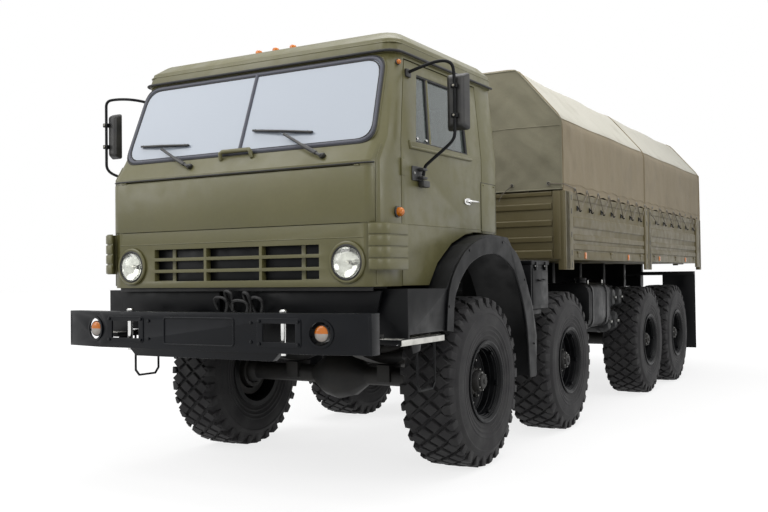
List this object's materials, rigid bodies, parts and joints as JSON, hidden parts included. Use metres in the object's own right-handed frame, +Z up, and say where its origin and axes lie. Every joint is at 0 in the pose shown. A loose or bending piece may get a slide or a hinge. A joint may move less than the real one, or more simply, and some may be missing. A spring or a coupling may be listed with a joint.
{
  "type": "military cargo truck",
  "caption": "All-wheel-drive military cargo truck with four axles, a forward-control tilting cab and a steel cargo bed under a canvas cover on bows.",
  "frame": {"origin": "on the ground under the middle of the truck", "axes": "+Z up, the front faces -Y, +X is the truck's own left"},
  "size_m": [2.91, 9.08, 3.21],
  "materials": {
    "olive_paint": "satin olive enamel",
    "bed_paint": "matt olive enamel, worn",
    "black_paint": "satin black enamel",
    "cast_iron": "as cast, painted black",
    "tyre_rubber": "moulded",
    "window_glass": "clear",
    "lamp_glass": "fluted",
    "amber_lens": "moulded amber lens",
    "gasket_rubber": "extruded",
    "black_plastic": "moulded",
    "seat_cloth": "woven",
    "canvas": "proofed cotton canvas",
    "bare_steel": "worn bright"
  },
  "bodies": {
    "chassis": {"frame": "black_paint", "engine": "cast_iron", "radiator": "black_paint", "transfer_case": "cast_iron", "axle_1": "cast_iron", "axle_2": "cast_iron", "axle_3": "cast_iron", "axle_4": "cast_iron", "rear_springs": "black_paint", "bumper": "black_paint", "fender_left": "black_paint", "fender_right": "black_paint", "tool_box": "black_paint", "fuel_tank_left": "black_paint", "fuel_tank_right": "black_paint", "air_bottles": "black_paint", "tail_bar": "black_paint", "bed_floor": "bed_paint", "front_board": "bed_paint", "side_board_left": "bed_paint", "side_board_right": "bed_paint", "canvas_cover": "canvas", "cover_bows": "black_paint"},
    "cab": {"cab_shell": "olive_paint", "roof": "olive_paint", "windscreen_gasket": "gasket_rubber", "windscreen": "window_glass", "rear_glass": "window_glass", "headlamp_left": "lamp_glass", "headlamp_right": "lamp_glass", "seats": "seat_cloth", "dashboard": "black_plastic"},
    "door_left": {"door_left": "olive_paint", "door_glass_left": "window_glass", "mirror_left": "black_plastic"},
    "door_right": {"door_right": "olive_paint", "door_glass_right": "window_glass", "mirror_right": "black_plastic"},
    "front_flap": {"front_flap": "olive_paint"},
    "tailgate": {"tailgate": "bed_paint"},
    "knuckle_1_left": {"knuckle_1_left": "cast_iron"},
    "knuckle_1_right": {"knuckle_1_right": "cast_iron"},
    "knuckle_2_left": {"knuckle_2_left": "cast_iron"},
    "knuckle_2_right": {"knuckle_2_right": "cast_iron"},
    "wheel_1_left": {"tyre_1_left": "tyre_rubber", "wheel_1_left": "black_paint"},
    "wheel_1_right": {"tyre_1_right": "tyre_rubber", "wheel_1_right": "black_paint"},
    "wheel_2_left": {"tyre_2_left": "tyre_rubber", "wheel_2_left": "black_paint"},
    "wheel_2_right": {"tyre_2_right": "tyre_rubber", "wheel_2_right": "black_paint"},
    "wheel_3_left": {"tyre_3_left": "tyre_rubber", "wheel_3_left": "black_paint"},
    "wheel_3_right": {"tyre_3_right": "tyre_rubber", "wheel_3_right": "black_paint"},
    "wheel_4_left": {"tyre_4_left": "tyre_rubber", "wheel_4_left": "black_paint"},
    "wheel_4_right": {"tyre_4_right": "tyre_rubber", "wheel_4_right": "black_paint"}
  },
  "joints": [
    {"name": "cab_tilt", "type": "hinge", "parent": "chassis", "child": "cab", "pos_m": [0, -4.06, 1.16], "axis": [1, 0, 0], "range_deg": [0, 40]},
    {"name": "door_left_swing", "type": "hinge", "parent": "cab", "child": "door_left", "pos_m": [1.124, -3.905, 1.312], "axis": [0, 0, -1], "range_deg": [0, 70]},
    {"name": "door_right_swing", "type": "hinge", "parent": "cab", "child": "door_right", "pos_m": [-1.124, -3.905, 1.312], "axis": [0, 0, 1], "range_deg": [0, 70]},
    {"name": "front_flap_lift", "type": "hinge", "parent": "cab", "child": "front_flap", "pos_m": [0, -4.2, 2.05], "axis": [-1, 0, 0], "range_deg": [0, 85]},
    {"name": "tailgate_drop", "type": "hinge", "parent": "chassis", "child": "tailgate", "pos_m": [0, 4.528, 1.5], "axis": [-1, 0, 0], "range_deg": [0, 90]},
    {"name": "steer_1_left", "type": "hinge", "parent": "chassis", "child": "knuckle_1_left", "pos_m": [0.88, -2.87, 0.61], "axis": [0, 0, 1], "range_deg": [-30, 30]},
    {"name": "steer_1_right", "type": "hinge", "parent": "chassis", "child": "knuckle_1_right", "pos_m": [-0.88, -2.87, 0.61], "axis": [0, 0, 1], "range_deg": [-30, 30]},
    {"name": "steer_2_left", "type": "hinge", "parent": "chassis", "child": "knuckle_2_left", "pos_m": [0.88, -1.04, 0.61], "axis": [0, 0, 1], "range_deg": [-20, 20]},
    {"name": "steer_2_right", "type": "hinge", "parent": "chassis", "child": "knuckle_2_right", "pos_m": [-0.88, -1.04, 0.61], "axis": [0, 0, 1], "range_deg": [-20, 20]},
    {"name": "roll_1_left", "type": "hinge", "parent": "knuckle_1_left", "child": "wheel_1_left", "pos_m": [1.03, -2.87, 0.61], "axis": [1, 0, 0], "continuous": true},
    {"name": "roll_1_right", "type": "hinge", "parent": "knuckle_1_right", "child": "wheel_1_right", "pos_m": [-1.03, -2.87, 0.61], "axis": [1, 0, 0], "continuous": true},
    {"name": "roll_2_left", "type": "hinge", "parent": "knuckle_2_left", "child": "wheel_2_left", "pos_m": [1.03, -1.04, 0.61], "axis": [1, 0, 0], "continuous": true},
    {"name": "roll_2_right", "type": "hinge", "parent": "knuckle_2_right", "child": "wheel_2_right", "pos_m": [-1.03, -1.04, 0.61], "axis": [1, 0, 0], "continuous": true},
    {"name": "roll_3_left", "type": "hinge", "parent": "chassis", "child": "wheel_3_left", "pos_m": [1.03, 1.77, 0.61], "axis": [1, 0, 0], "continuous": true},
    {"name": "roll_3_right", "type": "hinge", "parent": "chassis", "child": "wheel_3_right", "pos_m": [-1.03, 1.77, 0.61], "axis": [1, 0, 0], "continuous": true},
    {"name": "roll_4_left", "type": "hinge", "parent": "chassis", "child": "wheel_4_left", "pos_m": [1.03, 3.14, 0.61], "axis": [1, 0, 0], "continuous": true},
    {"name": "roll_4_right", "type": "hinge", "parent": "chassis", "child": "wheel_4_right", "pos_m": [-1.03, 3.14, 0.61], "axis": [1, 0, 0], "continuous": true}
  ],
  "couplings": [
    {"joint": "steer_1_right", "follows": "steer_1_left", "ratio": 1},
    {"joint": "steer_2_left", "follows": "steer_1_left", "ratio": 0.66},
    {"joint": "steer_2_right", "follows": "steer_1_left", "ratio": 0.66}
  ]
}
